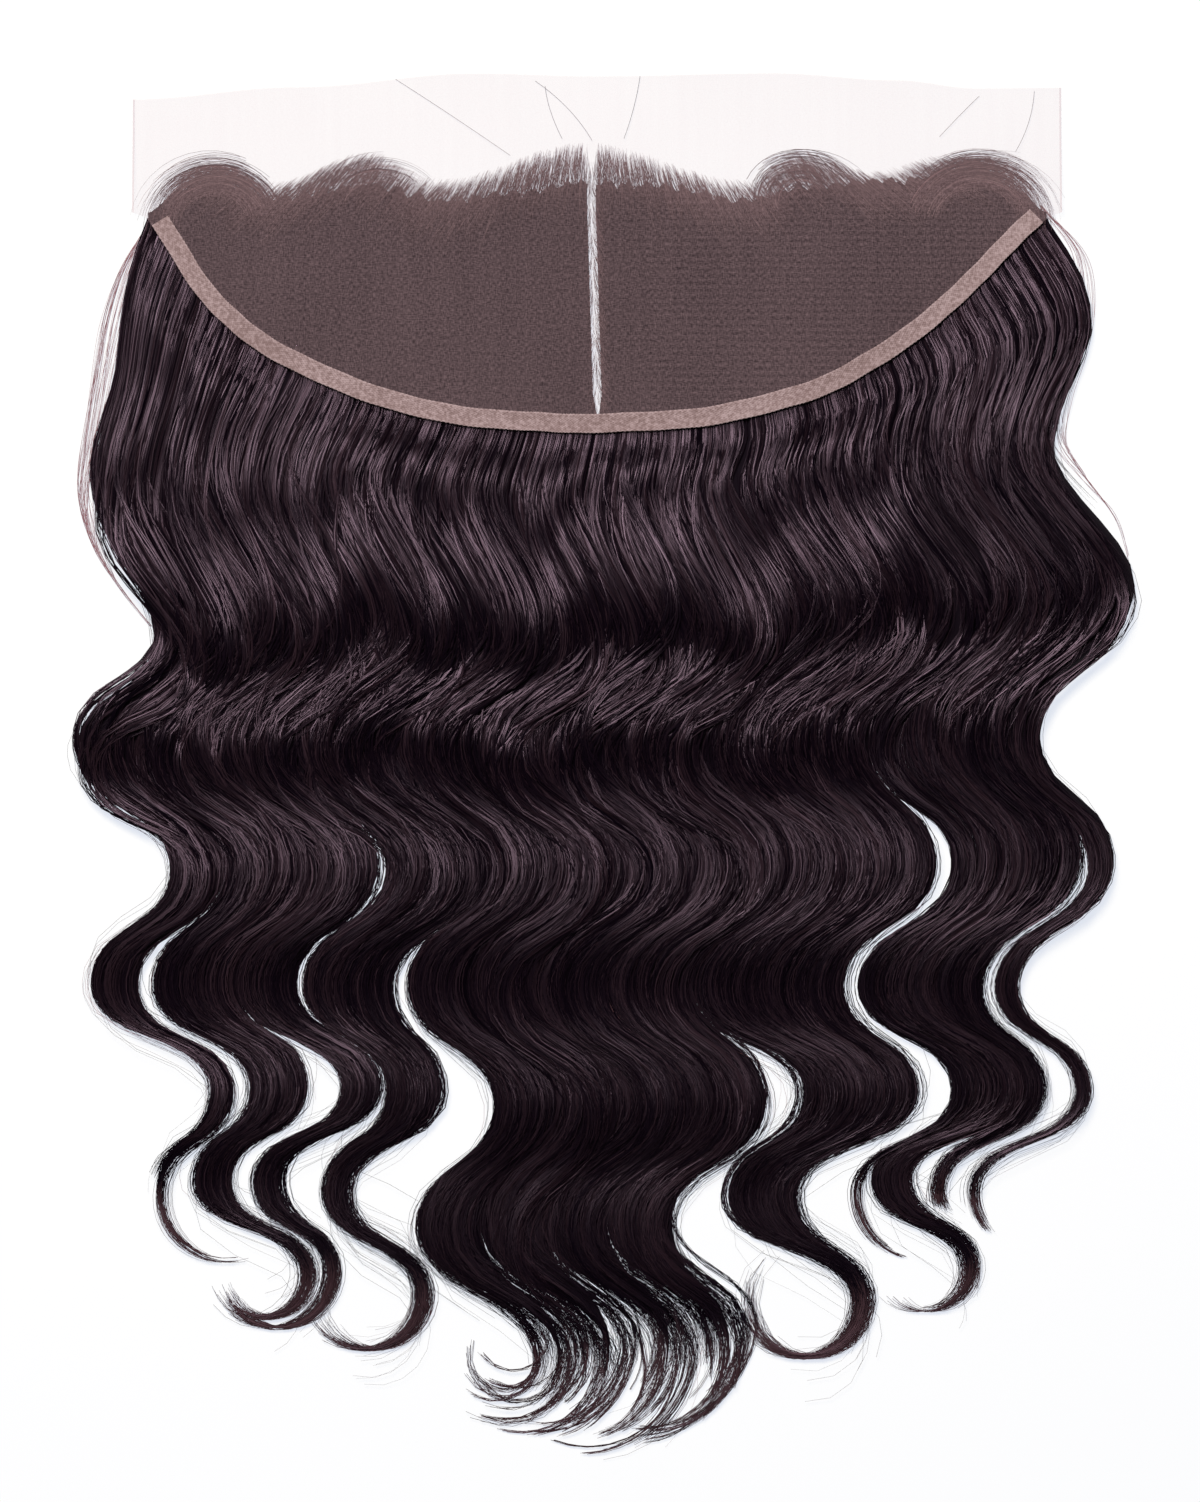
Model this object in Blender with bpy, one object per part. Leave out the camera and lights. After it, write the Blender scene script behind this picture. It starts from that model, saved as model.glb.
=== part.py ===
"""A lace frontal, the ear-to-ear hairpiece that is sewn in front of a wig cap.

It lies flat on its hair, with the cap side of the lace facing up. A sheet of lace net carries the hair,
which is knotted to its under side from the hairline back to a sewn tape. Behind the tape the hair falls free
in body waves and parts into locks that end in hooks.

Places on the plan are in millimetres: x runs from the parting to the wearer's left ear on the right-hand
side, and level runs back from the peak of the hairline towards the tips of the hair. The row frame has level
along -Y, its origin under the middle of the whole piece, and the table at z = 0.
"""

import math

import bmesh
import bpy
import numpy as np

MM = 0.001

# The lace net, from the 13 by 4 inch size that this kind of piece is sold in
EAR_TO_EAR = 330.2
LACE_EAR_LEVEL = 25.0
NET_THICKNESS = 1.0
SIDE_STRIP = 5.5
NET_COLUMNS = 26
NET_ROWS = 10

# The spare net in front of the hairline, which the wearer trims off
FRONT_EDGE = (
    # x, level
    (-171.0, -19.0),
    (-110.0, -23.5),
    (-45.0, -28.5),
    (0.0, -27.5),
    (65.0, -28.6),
    (110.0, -26.0),
    (140.0, -23.0),
    (171.0, -23.3),
)

# The rear edge of the net, under the outer edge of the tape
REAR_EDGE = (
    # x, level
    (-165.1, 25.0),
    (-145.9, 54.3),
    (-127.3, 71.8),
    (-99.8, 86.6),
    (-63.1, 98.8),
    (-28.0, 103.0),
    (0.0, 103.8),
    (38.0, 101.6),
    (74.5, 93.4),
    (102.0, 80.6),
    (129.5, 60.4),
    (148.5, 41.5),
    (165.1, 25.0),
)

# The net lies on the table at its front edge and climbs over the hair to a level top
CLIMB_START_LEVEL = -24.0
CLIMB_END_LEVEL = 54.0
HAIR_UNDER_NET = 8.0

TAPE_WIDTH = 7.0
TAPE_THICKNESS = 1.0
TAPE_STEPS = 36
TAPE_END_SHARE = 0.008

TOUCHING_GAP = 0.35
NET_TO_HAIR_GAP = 0.45
SECTION_GAP = 0.6
PARTING_GAP = 3.4

# The front edge of the knotted hair, in peaks and dips
HAIRLINE = (
    # x, level
    (-165.1, 22.6),
    (-142.0, 4.8),
    (-113.0, 15.5),
    (-81.5, 2.6),
    (-54.0, 19.0),
    (0.0, 0.0),
    (67.0, 19.0),
    (85.0, 6.5),
    (107.5, 11.0),
    (130.0, 2.2),
    (165.1, 22.6),
)

# The crests of the body wave. Side is +1 where the hair swings to the right.
CRESTS = (
    # level, side, swing at the left ear, in the middle and at the right ear
    (76.0, 1, 0.0, 0.0, 3.5),
    (124.0, -1, 7.5, 3.0, 15.0),
    (178.0, 1, 15.0, 15.0, 15.5),
    (220.0, -1, 15.5, 15.5, 15.5),
    (263.5, 1, 15.5, 15.5, 15.5),
    (306.5, -1, 15.5, 15.5, 15.5),
    (345.0, 1, 15.5, 15.5, 15.5),
    (382.0, -1, 15.5, 15.5, 15.5),
    (418.5, 1, 17.0, 17.0, 17.0),
)
FIRST_FREE_CREST = 2
MID_CREST = 5
MEANDER = 2.4
WAVE_STARTS_BEHIND_TAPE = 26.0
RIGHT_LEAD = 18.0

# The outer edges of all the hair, at the tape, where it starts its fall and at the sixth crest
ROOT_EDGES = (-165.1, 0.0, 165.1)
FALL_EDGES = (-178.0, -2.5, 182.0)
MID_EDGES = (-170.0, -6.2, 170.0)
FAN_POWER = 5.0

# The locks, from left to right. The places are the middle and the width of a lock at the sixth crest and at
# each crest after it, without the swing of the wave. A lock is one with its right-hand neighbour down to its
# split.
LOCK_COLUMNS = ("section", "lag", "hook_radius", "hook_turn", "split_level", "places")
LOCKS = (
    ("hair_side_left", 0, 24, 85, 272, ((-161.3, 16.9), (-153.2, 8.6), (-144.9, 5.5))),
    ("hair_side_left", -6, 15, 145, 314, ((-132.4, 30.8), (-132.4, 20.9), (-125.6, 14.7), (-122.8, 6.5))),
    ("hair_side_left", -6, 20, 105, 236, ((-106.1, 21.8), (-102.1, 14.0), (-105.9, 10.1), (-114.5, 8.2))),
    ("hair_back_left", 1, 21.6, 125, 280, ((-75.9, 33.8), (-82.6, 19.8), (-80.2, 10.1), (-81.2, 5.2))),
    ("hair_back_left", 24, 17.5, 225, 402, ((-42.9, 21.8), (-42.0, 21.9), (-38.7, 23.4), (-31.0, 14.0))),
    ("hair_back_left", 23, 26, 95, 404, ((-19.2, 25.7), (-18.3, 25.5), (-15.0, 24.0), (-12.8, 16.5))),
    ("hair_back_right", 21, 32, 90, 402, ((6.6, 25.9), (6.8, 24.5), (8.0, 22.0), (9.0, 18.0))),
    ("hair_back_right", 21, 32, 90, 314, ((35.0, 30.8), (33.0, 27.9), (31.1, 24.2), (31.3, 18.6))),
    ("hair_back_right", 4, 20.6, 180, 216, ((79.0, 55.9), (81.4, 43.3), (76.2, 27.5), (80.4, 12.8))),
    ("hair_side_right", 0, 25.5, 72, 356, ((116.3, 9.4), (119.6, 9.7), (110.6, 3.6))),
    ("hair_side_right", -8, 15.5, 110, 350, ((130.8, 19.5), (133.2, 17.5), (123.3, 15.3), (120.0, 9.0))),
    ("hair_side_right", 0, 15, 35, 246, ((148.8, 16.6), (145.2, 6.5), (140.8, 4.0))),
    ("hair_side_right", 0, 22, 60, 900, ((165.8, 8.5), (163.0, 5.0), (153.2, 3.6))),
)
OPENING = 26.0

# Thickness of the hair at the tape, at the crests that follow, and at the tip of a hook
THICKNESS = (
    # station, height, depth of the valley beside a lock as a share of the height
    (1.0, 8.0, 0.0),
    (1.4, 11.0, 0.16),
    (2.0, 12.5, 0.30),
    (3.0, 12.5, 0.34),
    (5.0, 11.0, 0.40),
    (7.0, 7.0, 0.55),
    (8.0, 5.2, 0.60),
    (9.0, 1.4, 0.60),
)
SIDE_EDGE_DROP = 0.45
NARROW_LOCK = 14.0
TIP_WIDTH_SHARE = 0.22

BED_STEPS = 6
FALL_STEPS = 8
HALF_WAVE_STEPS = 5
HOOK_STEPS = 8
HOOK_STATION = 8.0
CROWN = (-1.0, -0.55, 0.0, 0.55, 1.0)


def half_cosine(x, table_x, table_value):
    """Values between the rows of a table, level at each row, as a wave is at its crests."""
    table_x = np.asarray(table_x, float)
    row = np.clip(np.searchsorted(table_x, x, side="right") - 1, 0, len(table_x) - 2)
    share = np.clip((x - table_x[row]) / (table_x[row + 1] - table_x[row]), 0.0, 1.0)
    low, high = np.asarray(table_value, float)[row], np.asarray(table_value, float)[row + 1]
    return low + (high - low) * (1.0 - np.cos(math.pi * share)) / 2.0


def smooth_step(share):
    share = np.clip(share, 0.0, 1.0)
    return share * share * (3.0 - 2.0 * share)


def hairline_level(x):
    return half_cosine(x, *zip(*HAIRLINE))


def rear_edge(share):
    """Plan position along the rear edge of the net, from the left ear at 0 to the right one at 1.

    The table's rows are joined by a spline whose slope at a row is that of the line past it.
    """
    rows = np.array(REAR_EDGE)
    rows = np.vstack((2.0 * rows[0] - rows[1], rows, 2.0 * rows[-1] - rows[-2]))
    place = np.clip(share, 0.0, 1.0) * (len(REAR_EDGE) - 1)
    row = min(int(place), len(REAR_EDGE) - 2)
    t = place - row
    a, b, c, d = rows[row : row + 4]
    cubic = (3.0 * (b - c) + d - a) * t**3 + (2.0 * a - 5.0 * b + 4.0 * c - d) * t**2 + (c - a) * t
    return b + cubic / 2.0


REAR_SAMPLES = np.array([rear_edge(step / 240.0) for step in range(241)])


def rear_level(x):
    return np.interp(x, REAR_SAMPLES[:, 0], REAR_SAMPLES[:, 1])


def net_underside(level):
    climb = (level - CLIMB_START_LEVEL) / (CLIMB_END_LEVEL - CLIMB_START_LEVEL)
    return (HAIR_UNDER_NET + NET_TO_HAIR_GAP) * smooth_step(climb)


def crest_level(crest, x, lag):
    """Level of a crest at x.

    The right-hand side runs ahead near the top, and a lock lags more towards its tip.
    """
    level = CRESTS[crest][0]
    top, mid, last = CRESTS[FIRST_FREE_CREST][0], CRESTS[MID_CREST][0], CRESTS[-1][0]
    ahead = np.clip((mid - level) / (mid - top), 0.0, 1.0) ** 2 if crest else 1.0
    side = np.clip(x / ROOT_EDGES[2], 0.0, 1.0) ** 2
    behind = max(0.0, (level - mid) / (last - mid)) ** 1.5
    return level - RIGHT_LEAD * ahead * side + lag * behind


def crest_swing(crest, x):
    """Sideways reach of a crest at x, positive to the right."""
    _, side, *swings = CRESTS[crest]
    return side * float(np.interp(x, ROOT_EDGES, swings))


def upper_swing(x, level):
    """Sideways swing between the tape and the first free crest, which fades in behind the tape."""
    levels = [crest_level(crest, x, 0.0) for crest in range(FIRST_FREE_CREST + 1)]
    swings = [crest_swing(crest, x) for crest in range(FIRST_FREE_CREST + 1)]
    fade = smooth_step((level - rear_level(x)) / WAVE_STARTS_BEHIND_TAPE)
    return float(half_cosine(level, levels, swings) * fade)


def last_crest(lock):
    return MID_CREST + len(lock["places"]) - 1


def across(lock, offset, edges):
    """Where a flow line of a lock lies between the three given edges, its offset from -1 left to 1 right."""
    middle, width = lock["places"][0]
    return float(np.interp(middle + offset * width / 2.0, MID_EDGES, edges))


def flow_point(lock, offset, station):
    """Plan position on a flow line of a lock, at a station down to the lock's last crest.

    Station 0 is the hairline, 1 the tape, 2 the first free crest, and each whole number after it the next
    crest.
    """
    root, fall = across(lock, offset, ROOT_EDGES), across(lock, offset, FALL_EDGES)
    if station <= 1.0:
        return bed_point(root, station)
    if station <= 2.0:
        share = station - 1.0
        start, end = float(rear_level(root)), crest_level(FIRST_FREE_CREST, root, lock["lag"])
        level = start + (end - start) * share
        mean = root + (fall - root) * (1.0 - (1.0 - share) ** FAN_POWER)
        return np.array((mean + upper_swing(root, level), level))
    crest = FIRST_FREE_CREST + min(int(station) - 2, len(CRESTS) - 2 - FIRST_FREE_CREST)
    phase = station + FIRST_FREE_CREST - 2.0 - crest
    first, second = (crest_level(number, root, lock["lag"]) for number in (crest, crest + 1))
    near, far = (crest_swing(number, root) for number in (crest, crest + 1))
    level = first + (second - first) * phase + MEANDER * math.sin(2.0 * math.pi * phase)
    swing = (near - far) / 2.0 * math.cos(math.pi * phase) + (near + far) / 2.0
    reach = crest + phase
    if reach <= MID_CREST:
        share = (reach - FIRST_FREE_CREST) / (MID_CREST - FIRST_FREE_CREST)
        mean = fall + (across(lock, offset, MID_EDGES) - fall) * share
    else:
        crests = range(MID_CREST, last_crest(lock) + 1)
        means = [middle + offset * width / 2.0 for middle, width in lock["places"]]
        mean = half_cosine(reach, crests, means)
    return np.array((float(mean) + swing, level))


def hook_point(lock, offset, share):
    """Plan position along the hook, an arc that starts at the lock's last crest and narrows to its tip."""
    crest = last_crest(lock)
    turn_side = CRESTS[crest][1]
    middle, width = lock["places"][-1]
    root = across(lock, offset, ROOT_EDGES)
    centre_x = middle + crest_swing(crest, root) - turn_side * lock["hook_radius"]
    half_width = width / 2.0 * (1.0 - (1.0 - TIP_WIDTH_SHARE) * share)
    radius = lock["hook_radius"] + offset * turn_side * half_width
    angle = math.radians(lock["hook_turn"]) * share
    level = crest_level(crest, root, lock["lag"]) + radius * math.sin(angle)
    return np.array((centre_x + turn_side * radius * math.cos(angle), level))


def lock_stations(lock):
    """Station numbers down to the lock's last crest."""
    bed = [step / BED_STEPS for step in range(BED_STEPS)]
    fall = [1.0 + step / FALL_STEPS for step in range(FALL_STEPS)]
    waves = last_crest(lock) - FIRST_FREE_CREST
    return bed + fall + [2.0 + step / HALF_WAVE_STEPS for step in range(waves * HALF_WAVE_STEPS + 1)]


def opening(left_lock, station):
    """How far a lock has parted from its right-hand neighbour, from 0 where they are one to 1."""
    if station > last_crest(left_lock):
        return 1.0
    return float(smooth_step((flow_point(left_lock, 1.0, station)[1] - left_lock["split_level"]) / OPENING))


def shared_edge(left_lock, right_lock, side, station):
    """Plan position of the edge of the lock on this side of a split, which leaves the seam below the split."""
    own_lock = left_lock if side > 0 else right_lock
    own = flow_point(own_lock, side, station)
    open_share = opening(left_lock, station)
    if open_share == 1.0 or station > last_crest(right_lock):
        return own
    seam = (flow_point(left_lock, 1.0, station) + flow_point(right_lock, -1.0, station)) / 2.0
    return seam + (own - seam) * open_share


def height_at(station):
    stations, heights, valleys = zip(*THICKNESS)
    return np.interp(station, stations, heights), np.interp(station, stations, valleys)


class Shell:
    """Points and faces of one closed solid, in plan millimetres."""

    def __init__(self):
        self.points, self.faces = [], []

    def point(self, plan, height):
        self.points.append((plan[0], plan[1], height))
        return len(self.points) - 1

    def strip(self, row, next_row):
        """Quads between two rows of points."""
        for a, b, c, d in zip(row[:-1], row[1:], next_row[1:], next_row[:-1]):
            self.faces.append((a, b, c, d))

    def build(self, name, material):
        """An object whose mesh holds the solid, with level turned to run along -Y."""
        places = [(x * MM, -level * MM, height * MM) for x, level, height in self.points]
        mesh = bpy.data.meshes.new(name)
        mesh.from_pydata(places, [], self.faces)
        shape = bmesh.new()
        shape.from_mesh(mesh)
        bmesh.ops.recalc_face_normals(shape, faces=shape.faces)
        shape.to_mesh(mesh)
        shape.free()
        mesh.materials.append(material)
        obj = bpy.data.objects.new(name, mesh)
        bpy.context.scene.collection.objects.link(obj)
        return obj


def bed_height(plan):
    """Top of the knotted hair, just under the net."""
    return max(0.5, float(net_underside(plan[1])) - NET_TO_HAIR_GAP)


def bed_point(x, station):
    return np.array((x, (1.0 - station) * float(hairline_level(x)) + station * float(rear_level(x))))


def crown_height(plan, station, offset, outer, narrow):
    """Height of the hair at an offset from -1 to 1 across a lock."""
    if station <= 1.0:
        return bed_height(plan)
    height, valley = height_at(station)
    start = bed_height((plan[0], rear_level(plan[0])))
    blend = float(smooth_step((station - 1.0) / 0.5))
    height = start + (height - start) * blend
    if outer:
        valley = max(valley, SIDE_EDGE_DROP * blend)
    return height * narrow * (1.0 - valley * abs(offset) ** 2.2)


def lock_rows(locks, number):
    """Rows of (left edge, right edge, station, left joined, right joined) down a lock."""
    lock = locks[number]
    rows = []
    for station in lock_stations(lock):
        edges, joined = [], []
        for side in (-1, 1):
            neighbour = number + side
            if not 0 <= neighbour < len(locks):
                edges.append(flow_point(lock, side, station))
                joined.append(False)
                continue
            pair = (locks[min(number, neighbour)], locks[max(number, neighbour)])
            edge = shared_edge(*pair, side, station)
            same_solid = pair[0]["section"] == pair[1]["section"]
            if not same_solid:
                edge = edge - np.array((side * gap_between(pair, station) / 2.0, 0.0))
            edges.append(edge)
            joined.append(same_solid and opening(pair[0], station) == 0.0)
        rows.append((*edges, station, *joined))
    for step in range(1, HOOK_STEPS + 1):
        share = step / HOOK_STEPS
        edges = (hook_point(lock, side, share) for side in (-1, 1))
        rows.append((*edges, HOOK_STATION + share, False, False))
    return rows


def gap_between(pair, station):
    """The parting is open under the net and closes behind the tape. Other sections keep a small gap."""
    if pair[0]["section"] != "hair_back_left":
        return SECTION_GAP
    return SECTION_GAP + (PARTING_GAP - SECTION_GAP) * (1.0 - float(smooth_step(station - 1.0)))


def hair_section(name, locks, material):
    """One solid: the knotted bed under the net and the locks that fall from it, joined down to their splits."""
    shell = Shell()
    seam = {}
    for number, lock in enumerate(locks):
        if lock["section"] != name:
            continue
        outer = (number == 0, number + 1 == len(locks))
        rings = []
        for index, (left, right, station, *joined) in enumerate(lock_rows(locks, number)):
            width = min(float(np.linalg.norm(right - left)), NARROW_LOCK)
            if station > HOOK_STATION:
                width = min(lock["places"][-1][1], NARROW_LOCK)
            narrow = 0.35 + 0.65 * width / NARROW_LOCK if station > 4.0 else 1.0
            corners = [(number - 1, index) if joined[0] else None, (number, index) if joined[1] else None]
            rings.append(lock_ring(shell, seam, (left, right), station, narrow, outer, corners))
        join_rings(shell, rings)
    return shell.build(name, material)


def lock_ring(shell, seam, edges, station, narrow, outer, corners):
    """The points round a lock at one station: the crown from left to right, and those under it on the table.

    A corner with a key is shared with the neighbouring lock, which may have made its points already.
    """
    left, right = edges
    crown, floor = [], []
    for offset in CROWN:
        plan = left + (right - left) * (offset + 1.0) / 2.0
        if station <= 1.0:
            plan = bed_point(plan[0], station)
        at_side = outer[0] and offset < 0.0 or outer[1] and offset > 0.0
        height = crown_height(plan, station, offset, at_side, narrow)
        key = corners[0] if offset == -1.0 else corners[1] if offset == 1.0 else None
        if key is None:
            points = (shell.point(plan, height), None)
        elif key in seam:
            points = seam[key]
        else:
            points = seam[key] = (shell.point(plan, height), shell.point(plan, 0.0))
        crown.append(points[0])
        if abs(offset) == 1.0 or station == 0.0:
            floor.append(shell.point(plan, 0.0) if points[1] is None else points[1])
    return {"crown": crown, "floor": floor, "joined": [key is not None for key in corners]}


def join_rings(shell, rings):
    """Faces between the rings of a lock, with end caps, and walls where it isn't joined to its neighbour."""
    for ring, following in zip(rings[:-1], rings[1:]):
        shell.strip(following["crown"], ring["crown"])
        shell.faces.append((*ring["floor"], *reversed(following["floor"])))
        for end, joined in enumerate(zip(ring["joined"], following["joined"])):
            if not all(joined):
                corner = -end
                wall = [ring["crown"][corner], ring["floor"][corner], following["floor"][corner]]
                shell.faces.append((*wall, following["crown"][corner]))
    shell.strip(rings[0]["crown"], rings[0]["floor"])
    shell.faces.append((*rings[-1]["crown"], *reversed(rings[-1]["floor"])))


def lace_net(material):
    """The sheet of net, from its trimmed front edge over the hair to the tape."""
    ends = [(side * (EAR_TO_EAR / 2.0 + SIDE_STRIP), LACE_EAR_LEVEL - 2.0) for side in (-1, 1)]
    columns = [ends[0], *(rear_edge(column / NET_COLUMNS) for column in range(NET_COLUMNS + 1)), ends[1]]
    shell = Shell()
    tops, undersides = [], []
    for x, rear in columns:
        front = float(half_cosine(x, *zip(*FRONT_EDGE)))
        levels = [front + (rear - front) * row / NET_ROWS for row in range(NET_ROWS + 1)]
        under = [float(net_underside(level)) for level in levels]
        tops.append([shell.point((x, level), z + NET_THICKNESS) for level, z in zip(levels, under)])
        undersides.append([shell.point((x, level), z) for level, z in zip(levels, under)])
    for top, next_top, under, next_under in zip(tops[:-1], tops[1:], undersides[:-1], undersides[1:]):
        shell.strip(top, next_top)
        shell.strip(next_under, under)
        for end in (0, -1):
            wall = (top[end], next_top[end], next_under[end], under[end])
            shell.faces.append(wall if end == 0 else tuple(reversed(wall)))
    shell.strip(undersides[0], tops[0])
    shell.strip(tops[-1], undersides[-1])
    return shell.build("lace_net", material)


def edge_tape(material):
    """The woven tape sewn along the rear edge of the net, cut square at each ear."""
    shell = Shell()
    rings = []
    for step in range(TAPE_STEPS + 1):
        share = TAPE_END_SHARE + (1.0 - 2.0 * TAPE_END_SHARE) * step / TAPE_STEPS
        outer = rear_edge(share)
        along = rear_edge(share + 0.002) - rear_edge(share - 0.002)
        inner = outer + np.array((along[1], -along[0])) / np.linalg.norm(along) * TAPE_WIDTH
        ring = []
        for plan in (outer, inner):
            seat = float(net_underside(plan[1])) + NET_THICKNESS + TOUCHING_GAP
            ring.append(shell.point(plan, seat))
            ring.append(shell.point(plan, seat + TAPE_THICKNESS))
        rings.append((ring[0], ring[1], ring[3], ring[2]))
    for ring, following in zip(rings[:-1], rings[1:]):
        shell.strip(ring + ring[:1], following + following[:1])
    shell.faces.append(tuple(reversed(rings[0])))
    shell.faces.append(rings[-1])
    return shell.build("edge_tape", material)


def surface(name, colour, roughness):
    """A plain Principled finish."""
    material = bpy.data.materials.new(name)
    material.use_nodes = True
    shader = material.node_tree.nodes["Principled BSDF"]
    shader.inputs["Base Color"].default_value = (*colour, 1.0)
    shader.inputs["Roughness"].default_value = roughness
    shader.inputs["Metallic"].default_value = 0.0
    return material


def centre_on_origin(objects):
    """Moves the whole piece so that the middle of its box stands over the origin."""
    corners = [obj.matrix_world @ vertex.co for obj in objects for vertex in obj.data.vertices]
    low = [min(corner[axis] for corner in corners) for axis in range(3)]
    high = [max(corner[axis] for corner in corners) for axis in range(3)]
    for obj in objects:
        obj.location = (-(low[0] + high[0]) / 2.0, -(low[1] + high[1]) / 2.0, -low[2])


def main():
    for obj in list(bpy.data.objects):
        bpy.data.objects.remove(obj)
    hair = surface("hair", (0.022, 0.013, 0.016), 0.38)
    net = surface("lace", (0.80, 0.74, 0.71), 0.75)
    tape = surface("tape", (0.42, 0.31, 0.28), 0.80)

    locks = [dict(zip(LOCK_COLUMNS, row)) for row in LOCKS]
    sections = dict.fromkeys(lock["section"] for lock in locks)
    objects = [lace_net(net), edge_tape(tape)]
    objects += [hair_section(section, locks, hair) for section in sections]
    for obj in objects:
        obj.data.shade_smooth()
        obj.data.set_sharp_from_angle(angle=math.radians(40.0))
    centre_on_origin(objects)


main()
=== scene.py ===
"""A lace frontal hairpiece, lying face down on a white table and seen from straight above.

Places on the plan are in millimetres: x runs to the right from the parting, and level runs down the hair
from the peak of the hairline. Heights are above the table.
"""

import math

import bpy
import numpy as np
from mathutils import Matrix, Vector


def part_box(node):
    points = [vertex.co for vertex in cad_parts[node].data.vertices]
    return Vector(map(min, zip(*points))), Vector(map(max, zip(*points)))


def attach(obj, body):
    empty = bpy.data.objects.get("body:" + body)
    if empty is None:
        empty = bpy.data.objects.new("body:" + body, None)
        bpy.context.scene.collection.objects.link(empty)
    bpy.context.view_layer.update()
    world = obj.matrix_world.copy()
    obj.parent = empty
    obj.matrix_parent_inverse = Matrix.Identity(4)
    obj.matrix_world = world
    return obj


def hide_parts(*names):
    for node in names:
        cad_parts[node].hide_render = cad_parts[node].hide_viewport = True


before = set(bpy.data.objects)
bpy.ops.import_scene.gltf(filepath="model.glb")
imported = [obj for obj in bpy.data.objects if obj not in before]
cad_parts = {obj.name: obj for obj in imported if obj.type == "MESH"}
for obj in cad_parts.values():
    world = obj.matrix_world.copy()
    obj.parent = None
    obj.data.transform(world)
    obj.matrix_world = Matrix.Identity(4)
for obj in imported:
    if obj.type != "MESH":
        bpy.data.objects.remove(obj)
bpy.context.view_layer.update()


# The net. A sheet of fine pale net, cut at the ears and trimmed straight in front of the hairline. It lies
# on the table at its front edge, climbs over the hair that is knotted to its under side, and ends under the
# tape.

EAR = 165.1
FRONT_EDGE = (
    # x, level
    (-171.0, -19.0),
    (-110.0, -23.5),
    (-45.0, -28.5),
    (0.0, -27.5),
    (65.0, -28.6),
    (110.0, -26.0),
    (140.0, -23.0),
    (171.0, -23.3),
)
REAR_EDGE = (
    # x, level
    (-165.1, 25.0),
    (-145.9, 54.3),
    (-127.3, 71.8),
    (-99.8, 86.6),
    (-63.1, 98.8),
    (-28.0, 103.0),
    (0.0, 103.8),
    (38.0, 101.6),
    (74.5, 93.4),
    (102.0, 80.6),
    (129.5, 60.4),
    (148.5, 41.5),
    (165.1, 25.0),
)
HAIRLINE = (
    # x, level of the first hairs
    (-165.1, 21.0),
    (-163.6, 17.5),
    (-155.5, 9.3),
    (-138.0, 4.1),
    (-119.0, 11.5),
    (-83.5, 0.4),
    (-57.2, 10.6),
    (-4.8, -3.0),
    (55.0, 10.8),
    (73.5, -0.5),
    (100.5, 7.4),
    (130.0, 1.2),
    (148.2, 4.4),
    (158.2, 10.5),
    (165.1, 19.0),
)

# The plan's own origin in the frame, from the corners of the CAD net
net_low, net_high = (np.array(corner) * 1000.0 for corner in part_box("lace_net"))
PLAN_X = (net_low[0] + net_high[0]) / 2.0
PLAN_Y = net_high[1] + min(level for _, level in FRONT_EDGE)


def place(x, level, height):
    """Points in the frame, in metres, from arrays of x, level and height in millimetres."""
    x, level, height = np.broadcast_arrays(x, level, height)
    return np.stack((x + PLAN_X, PLAN_Y - level, height), axis=-1) / 1000.0


def smooth_step(share):
    share = np.clip(share, 0.0, 1.0)
    return share * share * (3.0 - 2.0 * share)


def half_cosine(x, rows):
    """A table of (x, value) rows, joined by half a cosine from each row to the next."""
    table_x, value = np.array(rows, float).T
    row = np.clip(np.searchsorted(table_x, x, side="right") - 1, 0, len(table_x) - 2)
    share = np.clip((x - table_x[row]) / (table_x[row + 1] - table_x[row]), 0.0, 1.0)
    return value[row] + (value[row + 1] - value[row]) * (1.0 - np.cos(math.pi * share)) / 2.0


def spline(rows, share):
    """Points on a smooth curve through the rows, from the first at 0 to the last at 1.

    The slope at each row is that of the line between its neighbours.
    """
    last = len(rows) - 2
    rows = np.array(rows)
    rows = np.vstack((2.0 * rows[0] - rows[1], rows, 2.0 * rows[-1] - rows[-2]))
    run = np.clip(np.asarray(share, float), 0.0, 1.0) * (last + 1)
    row = np.minimum(run.astype(int), last)
    t = (run - row)[..., None]
    a, b, c, d = (rows[row + step] for step in range(4))
    cubic, square = 3.0 * (b - c) + d - a, 2.0 * a - 5.0 * b + 4.0 * c - d
    return b + (cubic * t**3 + square * t**2 + (c - a) * t) / 2.0


def rear_edge(share):
    """Plan points along the rear edge of the net, ear to ear."""
    return spline(REAR_EDGE, share)


REAR_SAMPLES = rear_edge(np.linspace(0.0, 1.0, 400))


def rear_level(x):
    return np.interp(x, REAR_SAMPLES[:, 0], REAR_SAMPLES[:, 1])


def net_underside(level):
    """Height of the net above the table, a smooth climb from its front edge to a level top over the hair."""
    return 8.45 * smooth_step((level + 24.0) / 78.0)


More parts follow.
